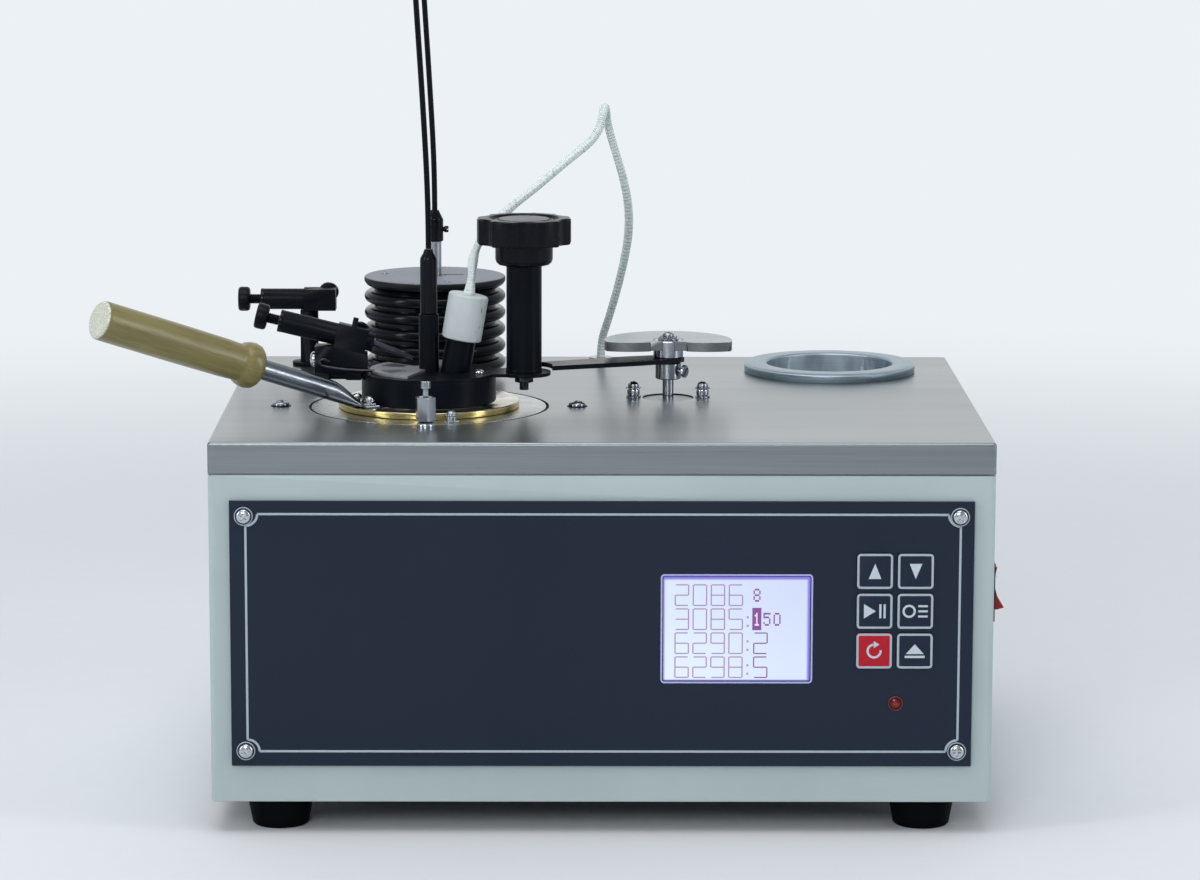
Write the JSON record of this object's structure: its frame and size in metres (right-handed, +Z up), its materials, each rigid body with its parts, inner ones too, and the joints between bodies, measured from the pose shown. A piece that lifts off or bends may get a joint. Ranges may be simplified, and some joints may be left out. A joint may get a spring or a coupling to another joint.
{
  "type": "flash point tester",
  "caption": "Bench instrument that heats and stirs a sample in a lidded brass cup and tests its vapour with a flame; box case with display, keys and a stainless top.",
  "frame": {"origin": "on the table plane, under the centre of the case's footprint", "axes": "+Z up, +X to the operator's right, +Y from the front panel to the back"},
  "size_m": [0.3882, 0.2583, 0.4113],
  "materials": {
    "rubber_black": "moulded black rubber",
    "paint_grey": "fine powder coat, light grey-green",
    "cover_steel": "brushed lengthways, glossy",
    "steel": "turned steel",
    "screw_chrome": "bright plated screws",
    "panel_navy": "dark slate film on sheet metal",
    "window": "lit display window",
    "board": "circuit board",
    "key_navy": "dark key with a silver outline",
    "key_red": "red key with a silver outline",
    "led_red": "dark red lens",
    "rocker_red": "red rocker",
    "black_plastic": "satin black plastic",
    "black_metal": "black oxide finish",
    "furnace_alloy": "turned and polished",
    "cast_block": "cast furnace block",
    "ceramic": "heater and its jacket",
    "copper_core": "transformer core and winding",
    "ring_alloy": "turned aluminium",
    "brass": "polished brass",
    "wood": "yellow lacquered wood",
    "white_plug": "white plastic",
    "lead_sleeve": "woven glass-fibre sleeve, pale green and white",
    "shutter_steel": "grey metal",
    "cap_grey": "grey anodised metal"
  },
  "bodies": {
    "case": {"feet": "rubber_black", "base_plate": "steel", "case_shell": "paint_grey", "top_cover": "cover_steel", "front_panel": "panel_navy", "panel_screws": "screw_chrome", "lcd_window": "window", "display_board": "board", "status_led": "led_red", "switch_housing": "black_plastic", "power_inlet": "black_plastic", "main_board": "board", "transformer": "copper_core", "furnace_plate": "furnace_alloy", "furnace_body": "cast_block", "furnace_heater": "ceramic", "cover_screws": "steel", "hex_post": "steel", "cup_rest_ring": "ring_alloy", "lead_socket": "black_plastic", "motor_tower": "black_metal", "tower_cap": "cap_grey", "stirrer_motor": "steel", "drive_gearmotor": "steel", "drive_bush": "steel", "rear_valve_body": "black_metal"},
    "cup": {"test_cup": "brass", "handle_rod": "steel", "handle_grip": "wood"},
    "lid": {"lid_rim": "black_metal", "lid_plate": "black_metal", "knob_column": "black_plastic", "sensor_port": "black_metal", "sensor_plug": "white_plug", "bearing_column": "black_metal", "valve_bracket": "black_metal", "lid_screws": "screw_chrome", "front_valve_body": "black_metal", "flame_nozzle": "black_metal", "sensor_lead": "lead_sleeve", "flexible_shaft": "rubber_black"},
    "shutter": {"shutter": "shutter_steel"},
    "knob": {"star_knob": "black_plastic", "knob_spindle": "steel"},
    "stirrer": {"stirrer_chuck": "black_metal", "stirrer_spindle": "steel"},
    "motor_shaft": {"motor_coupling": "steel"},
    "sample_drive": {"drive_post": "steel", "drive_arm": "black_metal", "cam_plate": "cap_grey"},
    "front_valve_turn": {"front_valve_knob": "black_metal"},
    "rear_valve_turn": {"rear_valve_knob": "black_metal"},
    "power_rocker": {"rocker": "rocker_red"},
    "key_up_cap": {"key_up": "key_navy"},
    "key_down_cap": {"key_down": "key_navy"},
    "key_start_cap": {"key_start": "key_navy"},
    "key_record_cap": {"key_record": "key_navy"},
    "key_reset_cap": {"key_reset": "key_red"},
    "key_lid_cap": {"key_lid": "key_navy"}
  },
  "joints": [
    {"name": "cup_lift", "type": "slide", "parent": "case", "child": "cup", "axis": [0, 0, 1], "range_m": [0, 0.07]},
    {"name": "lid_lift", "type": "slide", "parent": "cup", "child": "lid", "axis": [0, 0, 1], "range_m": [0, 0.08]},
    {"name": "knob_turn", "type": "hinge", "parent": "lid", "child": "knob", "pos_m": [-0.0337, -0.027, 0.246], "axis": [0, 0, 1], "range_deg": [0, 80], "stiffness_Nm_per_rad": 0.03},
    {"name": "shutter_turn", "type": "hinge", "parent": "lid", "child": "shutter", "pos_m": [-0.0755, -0.027, 0.184], "axis": [0, 0, 1], "range_deg": [0, 28]},
    {"name": "motor_spin", "type": "hinge", "parent": "case", "child": "motor_shaft", "pos_m": [-0.0755, 0.06, 0.228], "axis": [0, 0, 1], "continuous": true},
    {"name": "stirrer_spin", "type": "hinge", "parent": "lid", "child": "stirrer", "pos_m": [-0.0755, -0.027, 0.218], "axis": [0, 0, 1], "continuous": true},
    {"name": "sample_drive_turn", "type": "hinge", "parent": "case", "child": "sample_drive", "pos_m": [0.0302, -0.001, 0.188], "axis": [0, 0, 1], "range_deg": [-25, 0]},
    {"name": "front_valve_knob_turn", "type": "hinge", "parent": "lid", "child": "front_valve_turn", "pos_m": [-0.14099, -0.027, 0.2059], "axis": [-0.9724, 0, 0.2334], "range_deg": [0, 270]},
    {"name": "rear_valve_knob_turn", "type": "hinge", "parent": "case", "child": "rear_valve_turn", "pos_m": [-0.158, 0.098, 0.19885], "axis": [-1, 0, 0], "range_deg": [0, 270]},
    {"name": "rocker_tilt", "type": "hinge", "parent": "case", "child": "power_rocker", "pos_m": [0.16, -0.105, 0.102], "axis": [0, 1, 0], "range_deg": [0, 20]},
    {"name": "key_up_press", "type": "slide", "parent": "case", "child": "key_up_cap", "axis": [0, 1, 0], "range_m": [0, 0.0005], "stiffness_N_per_m": 400},
    {"name": "key_down_press", "type": "slide", "parent": "case", "child": "key_down_cap", "axis": [0, 1, 0], "range_m": [0, 0.0005], "stiffness_N_per_m": 400},
    {"name": "key_start_press", "type": "slide", "parent": "case", "child": "key_start_cap", "axis": [0, 1, 0], "range_m": [0, 0.0005], "stiffness_N_per_m": 400},
    {"name": "key_record_press", "type": "slide", "parent": "case", "child": "key_record_cap", "axis": [0, 1, 0], "range_m": [0, 0.0005], "stiffness_N_per_m": 400},
    {"name": "key_reset_press", "type": "slide", "parent": "case", "child": "key_reset_cap", "axis": [0, 1, 0], "range_m": [0, 0.0005], "stiffness_N_per_m": 400},
    {"name": "key_lid_press", "type": "slide", "parent": "case", "child": "key_lid_cap", "axis": [0, 1, 0], "range_m": [0, 0.0005], "stiffness_N_per_m": 400}
  ],
  "couplings": [
    {"joint": "shutter_turn", "follows": "knob_turn", "ratio": 0.35},
    {"joint": "stirrer_spin", "follows": "motor_spin", "ratio": -1}
  ]
}
